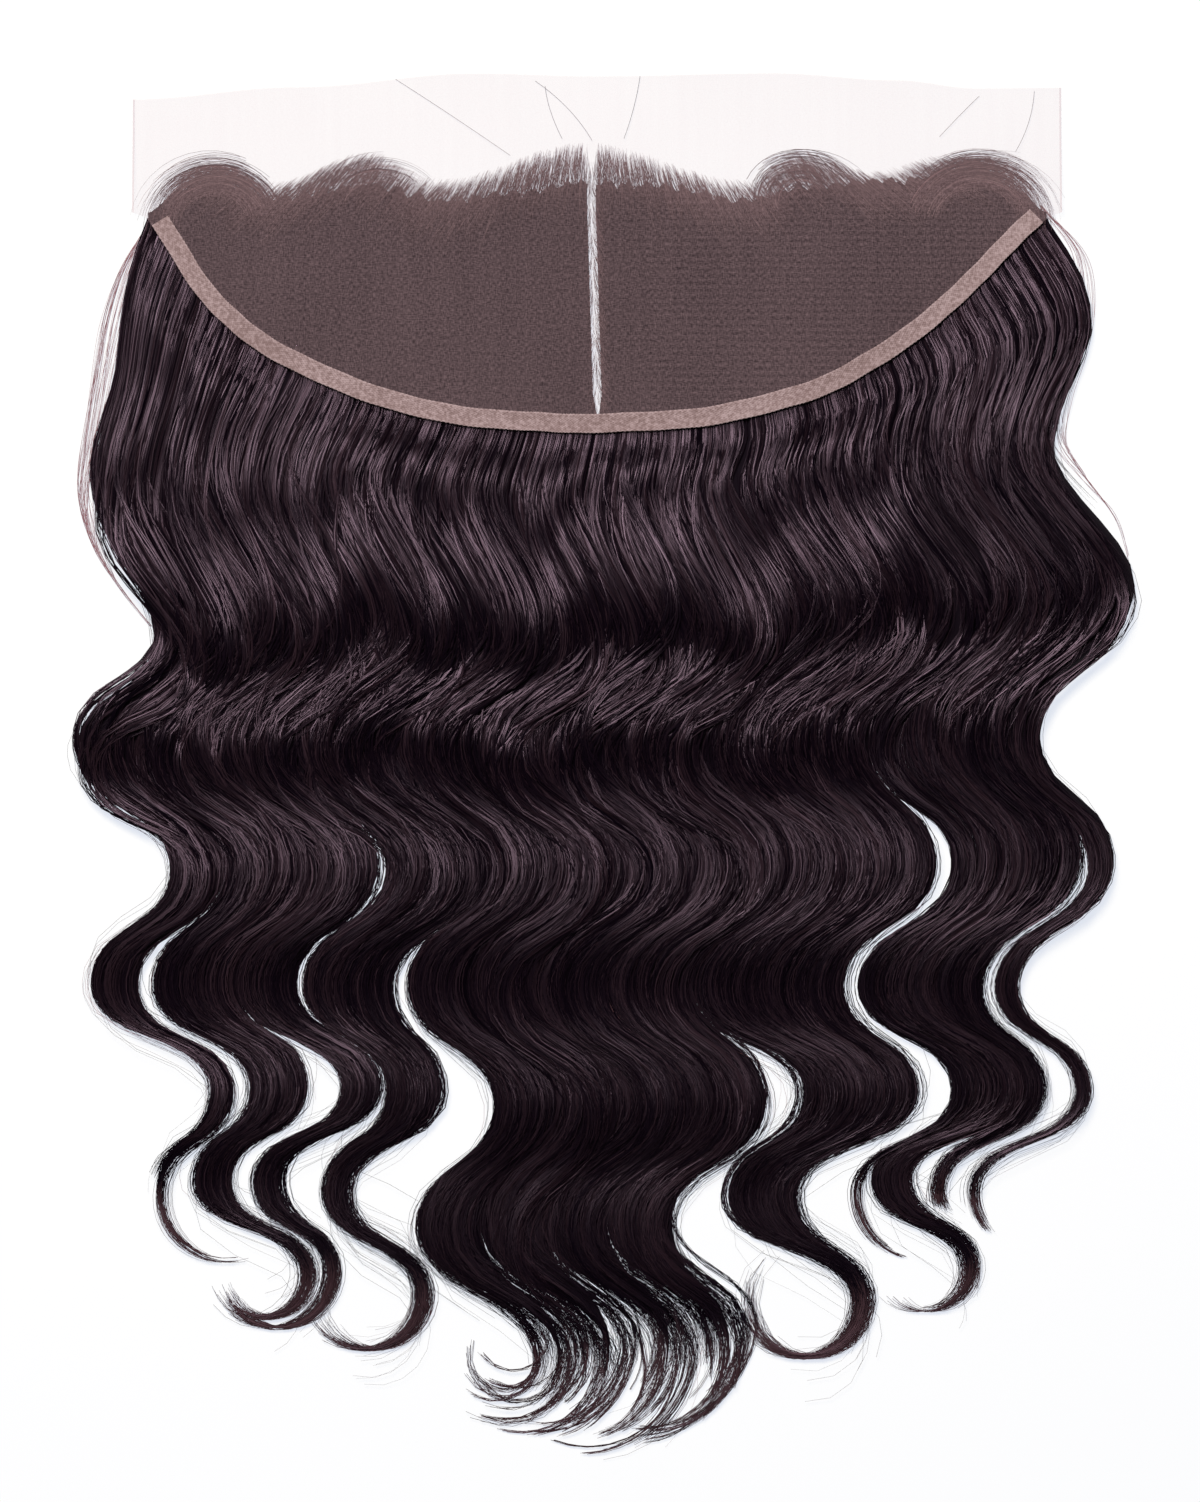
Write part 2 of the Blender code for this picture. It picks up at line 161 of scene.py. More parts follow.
def finish_mesh(name, vertices, faces, material, slot, uv=None, tone=None):
    """An object from arrays of vertices and quads, with a UV pair and a tone per vertex if given."""
    mesh = bpy.data.meshes.new(name)
    mesh.vertices.add(len(vertices))
    mesh.vertices.foreach_set("co", np.ascontiguousarray(vertices, np.float32).ravel())
    mesh.loops.add(faces.size)
    mesh.loops.foreach_set("vertex_index", np.ascontiguousarray(faces, np.int32).ravel())
    mesh.polygons.add(len(faces))
    mesh.polygons.foreach_set("loop_start", np.arange(0, faces.size, faces.shape[1], dtype=np.int32))
    mesh.update(calc_edges=True)
    mesh.shade_smooth()
    if uv is not None:
        layer = mesh.uv_layers.new(name="along")
        layer.uv.foreach_set("vector", np.ascontiguousarray(uv[faces.ravel()], np.float32).ravel())
    if tone is not None:
        mesh.attributes.new("tone", "FLOAT", "POINT").data.foreach_set("value", tone.astype(np.float32))
    mesh.materials.append(material)
    piece = bpy.data.objects.new(name, mesh)
    bpy.context.scene.collection.objects.link(piece)
    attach(piece, "root")
    return piece


def grid_faces(rows, columns, first=0):
    """Quads of a grid of rows by columns, numbered row by row."""
    corner = first + np.arange(rows - 1)[:, None] * columns + np.arange(columns - 1)[None, :]
    return np.stack((corner, corner + 1, corner + columns + 1, corner + columns), axis=-1).reshape(-1, 4)


class Value:
    """A socket in a finish, on which arithmetic adds Math nodes."""

    def __init__(self, finish, socket):
        self.finish, self.socket = finish, socket

    def math(self, operation, *others):
        return self.finish.node("Math", {"operation": operation}, *others)

    def __add__(self, other):
        return self.math("ADD", self, other)

    def __sub__(self, other):
        return self.math("SUBTRACT", self, other)

    def __rsub__(self, other):
        return self.math("SUBTRACT", other, self)

    def __mul__(self, other):
        return self.math("MULTIPLY", self, other)

    def sine(self):
        return self.math("SINE", self)

    def size(self):
        return self.math("ABSOLUTE", self)

    def above(self, limit):
        return self.math("GREATER_THAN", self, limit)

    def clamped(self):
        return self.finish.node("Clamp", {}, self)

    __radd__, __rmul__ = __add__, __mul__


class Finish:
    """A material with one Principled shader, whose constants are set on its own sockets."""

    def __init__(self, name, **constants):
        self.material = bpy.data.materials.new(name)
        self.material.use_nodes = True
        self.tree = self.material.node_tree
        self.shader = self.tree.nodes["Principled BSDF"]
        for socket, value in constants.items():
            self.shader.inputs[socket.replace("_", " ")].default_value = value

    def node(self, kind, settings, *inputs, output=0, **named):
        """A node of a kind with its settings, its sockets linked to or holding the given values."""
        made = self.tree.nodes.new("ShaderNode" + kind)
        stops = settings.pop("stops", None)
        for key, value in settings.items():
            setattr(made, key, value)
        if stops:
            ramp = made.color_ramp
            while len(ramp.elements) < len(stops):
                ramp.elements.new(0.5)
            for element, (position, colour) in zip(ramp.elements, stops):
                element.position, element.color = position, (*colour, 1.0)
        for key, value in [*enumerate(inputs), *named.items()]:
            socket = made.inputs[key.replace("_", " ") if isinstance(key, str) else key]
            if isinstance(value, Value):
                self.tree.links.new(value.socket, socket)
            else:
                socket.default_value = value
        return Value(self, made.outputs[output])

    def drive(self, socket, value):
        self.tree.links.new(value.socket, self.shader.inputs[socket])


NET_SIDE = EAR + 5.5
net = Finish("net", Roughness=0.8, Specular_IOR_Level=0.1)
net_place = net.node("TexCoord", {}, output="Object")
net_x = net.node("SeparateXYZ", {}, net_place, output=0)
net_y = net.node("SeparateXYZ", {}, net_place, output=1)
row_place = net.node("Mapping", {}, net_place, Scale=(700.0, 2200.0, 1.0))
column_place = net.node("Mapping", {}, net_place, Scale=(2200.0, 700.0, 1.0))
net_rows = net.node("TexNoise", {}, row_place, Scale=1.0, Detail=0.0)
net_columns = net.node("TexNoise", {}, column_place, Scale=1.0, Detail=0.0)
grain = (net_rows + net_columns) * 0.5
streak_place = net.node("Mapping", {}, net_place, Scale=(300.0, 14.0, 1.0))
streaks = net.node("TexNoise", {}, streak_place, Scale=1.0, Detail=1.0)
patches = net.node("TexNoise", {}, net_place, Scale=22.0, Detail=1.0)
ROW_PITCH = 0.0026
knot_rows = (net_y * (2.0 * math.pi / ROW_PITCH)).sine() * (net_x * 40.0).clamped() * 0.014
knots = net.node("Attribute", {"attribute_name": "tone"}, output="Fac")
hem = (net_x - PLAN_X / 1000.0).size().above((NET_SIDE - 0.7) / 1000.0)
cover = 0.148 + (grain - 0.5) * (0.07 + knots * 0.22) + (streaks - 0.5) * 0.035 + (patches - 0.5) * 0.05
net.drive("Alpha", cover + knot_rows * knots + hem * 0.25)
NET_STOPS = ((0.35, (0.49, 0.325, 0.33)), (0.65, (0.60, 0.395, 0.405)))
net.drive("Base Color", net.node("ValToRGB", {"stops": NET_STOPS}, grain))

NET_ROWS, NET_COLUMNS = 70, 260
across_net = np.linspace(-1.0, 1.0, NET_COLUMNS)[None, :]
down_net = np.linspace(0.0, 1.0, NET_ROWS)[:, None]


def net_surface(across, down):
    """The net: across runs from ear to ear at +-1, and down from the front edge at 0 to the rear edge at 1.

    The rear edge is the arc between the ears, and drops to the cut side strips beyond them.
    """
    x = across * NET_SIDE
    rear = np.where(np.abs(x) <= EAR, rear_level(np.clip(x, -EAR, EAR)), 25.0 - (np.abs(x) - EAR) * 0.4)
    front = half_cosine(x, FRONT_EDGE)
    level = front + (rear - front) * down
    ripple = 0.25 * np.sin(x * 0.11 + 1.3) * np.sin(level * 0.13) * smooth_step((level + 20.0) / 30.0)
    return place(x, level, net_underside(level) + 0.75 + ripple)


net_points = net_surface(across_net, down_net)
net_faces = grid_faces(NET_ROWS, NET_COLUMNS)[:, ::-1]
net_plan = net_points.reshape(-1, 3) * 1000.0
behind = PLAN_Y - net_plan[:, 1] - half_cosine(net_plan[:, 0] - PLAN_X, HAIRLINE)
net_knots = smooth_step((behind - 3.0) / 8.0)
lace = finish_mesh(
    "lace_sheet", net_points.reshape(-1, 3), net_faces, net.material, "lace_net", tone=net_knots
)
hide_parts("lace_net")


# The tape. A tan ribbon 7 mm wide, woven in a plain weave with a firmer edge on each side, cut square at the
# ears and sewn down over the rear edge of the net.

tape = Finish("tape", Roughness=0.85, Specular_IOR_Level=0.2)
tape_uv = tape.node("UVMap", {"uv_map": "along"})
tape_v = tape.node("SeparateXYZ", {}, tape_uv, output=0)
tape_u = tape.node("SeparateXYZ", {}, tape_uv, output=1)
selvedge = (tape_u - 0.5).size().above(0.42)
weave = (tape_v * 520.0 * math.pi).sine() * (tape_u * 16.0 * math.pi).sine()
mottle = tape.node("TexNoise", {}, tape.node("TexCoord", {}, output="Object"), Scale=900.0, Detail=2.0)
patches = tape.node("TexNoise", {}, tape.node("TexCoord", {}, output="Object"), Scale=28.0, Detail=1.0)
TAPE_STOPS = ((0.38, (0.23, 0.15, 0.14)), (0.52, (0.32, 0.22, 0.21)), (0.66, (0.43, 0.31, 0.30)))
tape_shade = mottle * 0.75 + patches * 0.25 + selvedge * 0.07 + weave * 0.05
tape.drive("Base Color", tape.node("ValToRGB", {"stops": TAPE_STOPS}, tape_shade))
tape_bump = tape.node("Bump", {}, Height=weave + mottle * 0.8, Strength=0.5, Distance=0.0002, output=0)
tape.drive("Normal", tape_bump)

TAPE_WIDTH, TAPE_SAMPLES = 7.0, 330
TAPE_SECTION = (
    # share of the width, height
    (0.0, 0.0),
    (0.0, 0.75),
    (0.05, 0.95),
    (0.12, 0.8),
    (0.5, 0.85),
    (0.88, 0.8),
    (0.95, 0.95),
    (1.0, 0.75),
    (1.0, 0.0),
)


def tape_surface(share, section):
    """The tape: a flat section with a raised thread at each edge, carried along the arc of the net.

    Its width and its line waver a little, as sewn tape does.
    """
    outer = rear_edge(share)
    along = rear_edge(share + 0.002) - rear_edge(share - 0.002)
    length = np.linalg.norm(along, axis=-1, keepdims=True)
    inward = np.stack((along[..., 1], -along[..., 0]), axis=-1) / length
    waver = 0.25 * np.sin(share * 61.0) + 0.15 * np.sin(share * 143.0 + 2.0)
    reach = section[..., 0] * TAPE_WIDTH + waver * 0.6
    plan = outer + inward * reach[..., None]
    return place(plan[..., 0], plan[..., 1], net_underside(plan[..., 1]) + 1.1 + section[..., 1])


tape_share = np.linspace(0.008, 0.992, TAPE_SAMPLES)[:, None]
tape_section = np.array(TAPE_SECTION + TAPE_SECTION[:1])[None, :, :]
tape_points = tape_surface(tape_share, tape_section)
tape_uvs = np.stack(np.broadcast_arrays(tape_share, tape_section[..., 0]), axis=-1).reshape(-1, 2)
tape_faces = grid_faces(TAPE_SAMPLES, len(TAPE_SECTION) + 1)
band = finish_mesh(
    "tape_band", tape_points.reshape(-1, 3), tape_faces, tape.material, "edge_tape", uv=tape_uvs
)
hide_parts("edge_tape")


# The hair. Long brown-black strands in a body wave, knotted under the net and combed straight back, so that
# they lie in flat waves and part into locks whose ends turn in hooks.

CRESTS = np.array(
    (
        # level, side, swing at the left ear, in the middle and at the right ear
        (76.0, 1, 0.0, 0.0, 3.5),
        (124.0, -1, 7.5, 3.0, 15.0),
        (178.0, 1, 15.0, 15.0, 15.5),
        (220.0, -1, 15.5, 15.5, 15.5),
        (263.5, 1, 15.5, 15.5, 15.5),
        (306.5, -1, 15.5, 15.5, 15.5),
        (345.0, 1, 15.5, 15.5, 15.5),
        (382.0, -1, 15.5, 15.5, 15.5),
        (418.5, 1, 17.0, 17.0, 17.0),
    )
)
# x of a flow line at the left edge, the parting and the right edge: at the tape, once it has fallen free,
# and at the sixth crest
ROOT_EDGES = (-165.1, 0.0, 165.1)
FALL_EDGES = (-178.0, -2.5, 182.0)
MID_EDGES = (-170.0, -6.2, 170.0)
LOCK_KEYS = ("section", "lag", "radius", "turn", "split", "places")
LOCKS = (
    # the places are (middle, width) at the sixth crest and at each crest after it
    ("side_left", 0, 25, 105, 272, ((-161.3, 16.9), (-153.2, 8.6), (-144.9, 5.5))),
    ("side_left", -6, 16, 175, 314, ((-132.4, 30.8), (-132.4, 20.9), (-125.6, 13.7), (-122.8, 4.6))),
    ("side_left", -6, 20, 125, 236, ((-106.1, 21.8), (-102.1, 14.0), (-105.9, 9.4), (-114.5, 5.6))),
    ("back_left", 1, 20.5, 145, 280, ((-75.9, 33.8), (-82.6, 19.8), (-80.2, 8.6), (-81.2, 2.8))),
    ("back_left", 24, 17.5, 225, 414, ((-42.9, 21.8), (-42.0, 21.9), (-38.7, 24.0), (-31.0, 18.5))),
    ("back_left", 23, 26, 95, 418, ((-19.2, 25.7), (-18.3, 25.5), (-15.0, 25.0), (-12.8, 21.0))),
    ("back_right", 21, 32, 90, 416, ((6.6, 25.9), (6.8, 24.5), (8.0, 23.5), (9.0, 22.0))),
    ("back_right", 21, 32, 90, 314, ((35.0, 30.8), (33.0, 27.9), (31.1, 24.6), (31.3, 21.0))),
    ("back_right", 4, 20.6, 200, 228, ((79.0, 55.9), (81.4, 43.3), (76.2, 26.0), (80.4, 10.0))),
    ("side_right", 0, 25.5, 72, 356, ((116.3, 9.4), (119.6, 9.7), (110.6, 3.6))),
    ("side_right", -8, 15.5, 110, 350, ((130.8, 19.5), (133.2, 17.5), (123.3, 14.3), (120.0, 7.0))),
    ("side_right", 0, 15, 35, 246, ((148.8, 16.6), (145.2, 6.5), (140.8, 4.0))),
    ("side_right", 0, 22, 60, 900, ((165.8, 8.5), (163.0, 5.0), (153.2, 3.6))),
)
LOCKS = tuple(dict(zip(LOCK_KEYS, row)) for row in LOCKS)
THICKNESS = np.array(
    (
        # station, height of the hair, depth of the valley beside a lock as a share of it
        (1.0, 10.2, 0.0),
        (1.4, 11.2, 0.16),
        (2.0, 12.3, 0.30),
        (3.0, 12.5, 0.34),
        (5.0, 11.0, 0.40),
        (7.0, 7.0, 0.55),
        (8.0, 5.2, 0.60),
        (9.0, 1.4, 0.60),
    )
)
# The swell of the hair down its length. Its slope sets how bright the hair is at each level.
SWELL = (
    # level, height
    (30.0, 0.0),
    (46.0, -0.6),
    (68.0, 0.6),
    (97.0, -0.4),
    (118.0, 1.0),
    (134.0, 0.0),
    (166.0, 2.4),
    (190.0, -2.8),
    (212.0, 2.0),
    (233.0, -2.9),
    (276.0, 1.1),
    (318.0, -3.2),
    (352.0, 1.2),
    (376.0, -2.4),
    (404.0, -0.4),
    (425.0, -1.2),
    (470.0, 0.5),
)


def crest_levels(root, lag):
    """Levels of the nine crests on each flow line.

    The right-hand side runs ahead near the top, and a lock lags more towards its tip.
    """
    level = CRESTS[:, 0]
    ahead = np.clip((level[5] - level) / (level[5] - level[2]), 0.0, 1.0) ** 2
    behind = np.clip((level - level[5]) / (level[-1] - level[5]), 0.0, None) ** 1.5
    side = np.clip(root / EAR, 0.0, 1.0) ** 2
    return level - 18.0 * ahead * side + lag * behind


def crest_swings(root):
    """Sideways reach of the nine crests on each flow line, positive to the right."""
    share = np.clip(root / EAR, -1.0, 1.0)
    left, middle, right = CRESTS[:, 2], CRESTS[:, 3], CRESTS[:, 4]
    outer = np.where(share < 0.0, left, right)
    return CRESTS[:, 1] * (middle + (outer - middle) * np.abs(share))


def pick(table, index):
    return np.take_along_axis(np.broadcast_to(table, (index.shape[0], table.shape[-1])), index, axis=1)


def last_station(lock):
    return 4.0 + len(lock["places"])


def flow(lock, offset, station, lag=0.0, early=0.0, swing=0.0, curl=1.0, turn=1.0):
    """Plan points on flow lines of a lock, one line a row, before its edges are drawn to its neighbours.

    Stations 0 to 1 are under the net and 1 to 2 behind the tape. From there each station is a crest of the
    wave, with x = mean + swing * cos(pi * phase). Past the last one a line turns on an arc about the hook's
    centre. Lag moves the later crests down, early moves the upper ones down, swing widens the waves as a
    share, the upper ones most, and curl and turn scale the hook's radius and angle.
    """
    offset, station = np.broadcast_arrays(np.asarray(offset, float), np.asarray(station, float))
    middle, width = np.array(lock["places"]).T
    mid_x = middle[0] + offset * width[0] / 2.0
    root, fall = np.interp(mid_x, MID_EDGES, ROOT_EDGES), np.interp(mid_x, MID_EDGES, FALL_EDGES)
    fading = np.clip((4.5 - np.arange(9)) / 2.5, 0.0, 1.0)
    levels = crest_levels(root[:, :1], lock["lag"] + lag) + early * fading * (np.arange(9) > 0)
    swings = crest_swings(root[:, :1]) * (1.0 + swing * (0.25 + fading))
    levels[:, 2:] += lag * 0.5

    bed = np.clip(station, 0.0, 1.0)
    level_bed = (1.0 - bed) * half_cosine(root, HAIRLINE) + bed * rear_level(root)

    share = np.clip(station - 1.0, 0.0, 1.0)
    start = rear_level(root)
    level_fall = start + (levels[:, 2:3] - start) * share
    mean_fall = root + (fall - root) * (1.0 - (1.0 - share) ** 5)
    upper = np.clip((level_fall > levels[:, 1:2]).astype(int), 0, 1)
    gap = pick(levels, upper + 1) - pick(levels, upper)
    phase = np.clip((level_fall - pick(levels, upper)) / gap, 0.0, 1.0)
    eased = (1.0 - np.cos(math.pi * phase)) / 2.0
    swing_fall = pick(swings, upper) + (pick(swings, upper + 1) - pick(swings, upper)) * eased
    x_fall = mean_fall + swing_fall * smooth_step((level_fall - start) / 26.0)

    end = last_station(lock)
    run = np.clip(station, 2.0, end)
    crest = np.minimum(run.astype(int), int(end) - 1)
    phase = run - crest
    near, far = pick(swings, crest), pick(swings, crest + 1)
    level_free = pick(levels, crest) * (1.0 - phase) + pick(levels, crest + 1) * phase
    level_free = level_free + 2.4 * np.sin(2.0 * math.pi * phase)
    swing_free = (near - far) / 2.0 * np.cos(math.pi * phase) + (near + far) / 2.0
    after = np.clip(run - 5.0, 0.0, len(middle) - 1.0)
    row = np.minimum(after.astype(int), len(middle) - 2)
    eased = (1.0 - np.cos(math.pi * (after - row))) / 2.0
    line_middle = middle[row] + (middle[row + 1] - middle[row]) * eased
    line_width = width[row] + (width[row + 1] - width[row]) * eased
    mean_late = line_middle + offset * line_width / 2.0
    mean_free = np.where(run <= 5.0, fall + (mid_x - fall) * (run - 2.0) / 3.0, mean_late)

    side = CRESTS[int(end), 1]
    turned = np.clip(station - end, 0.0, None)
    half_width = width[-1] / 2.0 * np.clip(1.0 - 0.78 * turned, 0.15, 1.0)
    radius = lock["radius"] * curl + offset * side * half_width
    angle = math.radians(lock["turn"]) * turn * turned
    last_swing = swings[:, int(end)][:, None]
    centre_x = middle[-1] + last_swing - side * lock["radius"] * curl
    x_hook = centre_x + side * radius * np.cos(angle)
    level_hook = levels[:, int(end)][:, None] + radius * np.sin(angle)

    regions = (station <= 1.0, station <= 2.0, station <= end)
    x = np.select(regions, (root, x_fall, mean_free + swing_free), x_hook)
    level = np.select(regions, (level_bed, level_fall, level_free), level_hook)
    return x, level


SEAM_STATIONS = np.linspace(0.0, 9.0, 361)


def seam_shift(number, side):
    """How far a lock's edge moves to meet its neighbour's at each seam station, as (x, level) arrays.

    Above the split both edges go to the middle between them, and they part over 26 mm below it.
    """
    lock, other = LOCKS[number], number + side
    if not 0 <= other < len(LOCKS):
        return np.zeros((2, len(SEAM_STATIONS)))
    own = np.array(flow(lock, [[side]], SEAM_STATIONS[None, :]))[:, 0]
    there = np.array(flow(LOCKS[other], [[-side]], SEAM_STATIONS[None, :]))[:, 0]
    left = LOCKS[min(number, other)]
    left_level = own[1] if side > 0 else there[1]
    together = 1.0 - smooth_step((left_level - left["split"]) / 26.0)
    reach = min(last_station(lock), last_station(LOCKS[other]))
    return (there - own) / 2.0 * together * (SEAM_STATIONS <= reach)


SEAM_SHIFTS = {(number, side): seam_shift(number, side) for number in range(len(LOCKS)) for side in (-1, 1)}


def lock_flow(number, offset, station, **change):
    """Plan points on a lock's flow lines, with its edges drawn together above the splits."""
    x, level = flow(LOCKS[number], offset, station, **change)
    for side in (-1, 1):
        shift_x, shift_level = SEAM_SHIFTS[number, side]
        share = np.clip((1.0 + side * offset) / 2.0, 0.0, 1.0)
        x = x + share * np.interp(station, SEAM_STATIONS, shift_x)
        level = level + share * np.interp(station, SEAM_STATIONS, shift_level)
    return x, level


def hair_height(number, offset, station, x, level, shine_shift=0.0):
    """Height of the hair over the table.

    It has a crown across each lock, is thickest behind the tape and thins to the tips, and swells down its
    length. The swell follows the level, as it would be without the lead of the right-hand side, wavers most
    in the upper half and is weaker in the locks at the far right.
    """
    lock, end = LOCKS[number], last_station(LOCKS[number])
    lookup = np.where(station > end, 8.0 + np.clip(station - end, 0.0, 1.2), station)
    height = np.interp(lookup, THICKNESS[:, 0], THICKNESS[:, 1])
    valley = np.interp(lookup, THICKNESS[:, 0], THICKNESS[:, 2])
    outer_side = -1.0 if number == 0 else 1.0 if number == len(LOCKS) - 1 else 0.0
    valley = np.where(offset * outer_side > 0.0, np.maximum(valley, 0.5), valley)
    under_net = net_underside(level) - 0.4
    behind = level - rear_level(x)
    height = under_net + (height - under_net) * smooth_step(behind / 18.0)
    middle = LOCKS[number]["places"][0][0]
    lead = 18.0 * np.clip(middle / EAR, 0.0, 1.0) ** 2 * np.clip((306.0 - level) / 128.0, 0.0, 1.0) ** 2
    waver = 9.0 * np.sin(x / 15.0 + 0.6) + 6.0 * np.sin(x / 6.3 + 2.0)
    uneven = waver * np.interp(level, (150.0, 260.0), (1.0, 0.2))
    swell = half_cosine(level + lead + uneven + shine_shift, SWELL) * smooth_step(behind / 9.0)
    far_right = 1.0 - 0.55 * smooth_step((middle - 90.0) / 60.0)
    height = height + swell * np.clip(height / 9.0, 0.15, 1.0) * far_right
    crown = 1.0 - valley * np.clip(np.abs(offset), 0.0, 1.0) ** 2.2
    return np.where(station <= 1.0, under_net, np.maximum(height, 0.4) * crown)


hair = Finish("hair", Specular_IOR_Level=0.17, Specular_Tint=(1.0, 0.68, 0.84, 1.0))
hair_uv = hair.node("UVMap", {"uv_map": "along"})
hair_tone = hair.node("Attribute", {"attribute_name": "tone"}, output="Fac")
fibre_place = hair.node("Mapping", {}, hair_uv, Scale=(60.0, 3.0, 1.0))
fibres = hair.node("TexNoise", {}, fibre_place, Scale=1.0, Detail=3.0)
HAIR_STOPS = (
    # the dark bed, root ends from dark to pale brown, loose hairs at 0.26, then from thin brown tips at 0.30
    # to dark strands at 0.45, and free strands from dark to light
    (0.05, (0.0014, 0.0006, 0.0022)),
    (0.08, (0.030, 0.016, 0.016)),
    (0.14, (0.050, 0.028, 0.028)),
    (0.22, (0.170, 0.105, 0.100)),
    (0.26, (0.260, 0.120, 0.125)),
    (0.30, (0.075, 0.036, 0.040)),
    (0.45, (0.0014, 0.0006, 0.0022)),
    (0.72, (0.0035, 0.0015, 0.0035)),
    (1.00, (0.024, 0.012, 0.016)),
)
hair.drive("Base Color", hair.node("ValToRGB", {"stops": HAIR_STOPS}, 0.5 + hair_tone * 0.5 + fibres * 0.05))
hair.drive("Roughness", 0.25 + hair_tone.size() * 0.10 + (0.0 - hair_tone).clamped() * 0.5)
hair.drive("Normal", hair.node("Bump", {}, Height=fibres, Strength=0.15, Distance=0.0001))


def ribbon_mesh(points, width, roll):
    """Vertices, quads and UV pairs of flat strands along rows of points, turned about them by roll."""
    tangent = np.gradient(points, axis=1)
    tangent /= np.maximum(np.linalg.norm(tangent, axis=2, keepdims=True), 1e-9)
    side = np.cross(tangent, (0.0, 0.0, 1.0))
    side /= np.maximum(np.linalg.norm(side, axis=2, keepdims=True), 1e-9)
    lift = np.cross(side, tangent)
    half = (side * np.cos(roll)[..., None] + lift * np.sin(roll)[..., None]) * (width / 2000.0)[..., None]
    vertices = np.stack((points - half, points + half), axis=2)
    count, length = points.shape[:2]
    corner = (np.arange(count)[:, None] * length + np.arange(length - 1)[None, :]) * 2
    faces = np.stack((corner, corner + 1, corner + 3, corner + 2), axis=-1).reshape(-1, 4)
    steps = np.linalg.norm(np.diff(points, axis=1), axis=2)
    run = np.concatenate((np.zeros((count, 1)), np.cumsum(steps, axis=1)), axis=1) * 10.0
    left = np.arange(count)[:, None] * 0.37 + run * 0.0
    uv = np.stack((np.stack((left, run), axis=-1), np.stack((left + 0.12, run), axis=-1)), axis=2)
    return vertices.reshape(-1, 3), faces, uv.reshape(-1, 2)


def joined_piece(name, meshes):
    """One piece of hair from meshes, each (vertices, quads, UV pairs, tones) with quads counted from 0."""
    vertices, faces, uvs, tones = zip(*meshes)
    firsts = np.cumsum([0, *(len(part) for part in vertices[:-1])])
    faces = [part + first for part, first in zip(faces, firsts)]
    parts = (np.concatenate(vertices), np.concatenate(faces), hair.material, "hair")
    return finish_mesh(name, *parts, uv=np.concatenate(uvs), tone=np.concatenate(tones))


def strand_piece(name, batches):
    """One piece from batches of strands, each (points, widths, rolls, tones) with one row to a strand."""
    meshes = []
    for points, width, roll, tone in batches:
        spread_tone = np.repeat(np.broadcast_to(tone, points.shape[:2]), 2, axis=1).ravel()
        meshes.append((*ribbon_mesh(points, width, roll), spread_tone))
    return joined_piece(name, meshes)


chance = np.random.default_rng(11)


def route(end):
    """Stations down a lock at nearly even turns: closest near the crests, where a strand bends most."""
    half_wave = np.arange(8) / 8.0 - 0.09 * np.sin(2.0 * math.pi * np.arange(8) / 8.0)
    free = (np.arange(2, int(end))[:, None] + half_wave[None, :]).ravel()
    return np.concatenate((np.linspace(0.94, 2.0, 19)[:-1], free, end + np.linspace(0.0, 1.4, 20)))


STRAND_LOOK = {
    "wild": 1.0,
    "lift": 0.0,
    "slant": 0.0,
    "tight": 1.0,
    "loose": 0.0,
    "point": 0.15,
    "in_wisp": 6,
    "own": 1.0,
    "thick": (0.17, 0.37),
}
# A lock whose last width is over this ends in a fan of tips, and a narrower one closes in a hook
FAN_WIDTH = 13.0
LOOSE_TONE = -0.53


